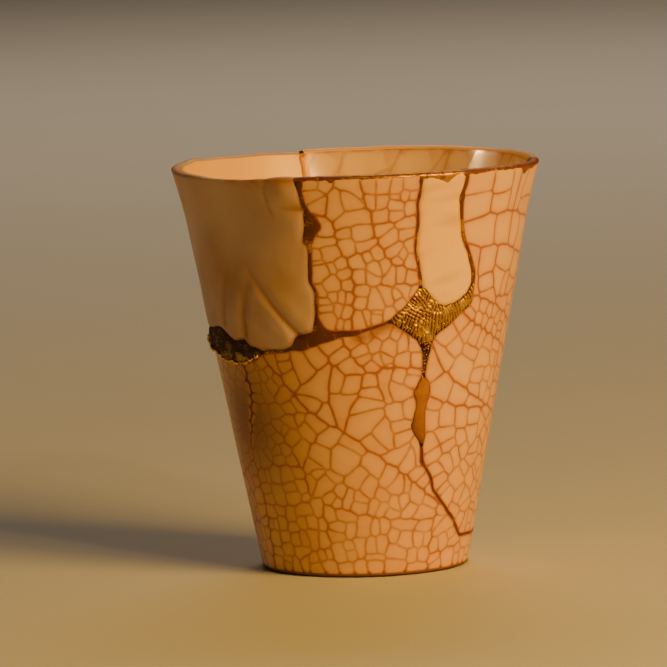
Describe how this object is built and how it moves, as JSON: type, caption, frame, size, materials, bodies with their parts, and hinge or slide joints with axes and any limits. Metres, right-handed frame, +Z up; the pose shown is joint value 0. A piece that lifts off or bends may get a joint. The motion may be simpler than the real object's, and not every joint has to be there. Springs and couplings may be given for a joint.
{
  "type": "kintsugi cup",
  "caption": "Tapered crackle-glazed ceramic cup without a handle, mended from its shards with lacquer seams and gold fills.",
  "frame": {"origin": "centre of the foot's underside, on the surface that the cup stands on", "axes": "+Z up along the cup's axis; -Y towards the front, where the gold star is; +X to the right of it"},
  "size_m": [0.0798, 0.0798, 0.0883],
  "materials": {
    "crackle_glaze": "satin",
    "plain_glaze": "satin",
    "brown_lacquer": "satin",
    "ochre_lacquer": "satin",
    "aged_gold": "satin"
  },
  "bodies": {
    "root": {"foot_shard": "crackle_glaze", "left_patch": "plain_glaze", "middle_shard": "crackle_glaze", "finger_patch": "plain_glaze", "right_shard": "crackle_glaze", "gold_star_fill": "aged_gold", "gold_corner_fill": "aged_gold", "ochre_drop_fill": "ochre_lacquer", "front_seam": "brown_lacquer", "finger_seam_left": "brown_lacquer", "finger_seam_right": "brown_lacquer", "back_seam": "brown_lacquer"}
  },
  "joints": []
}
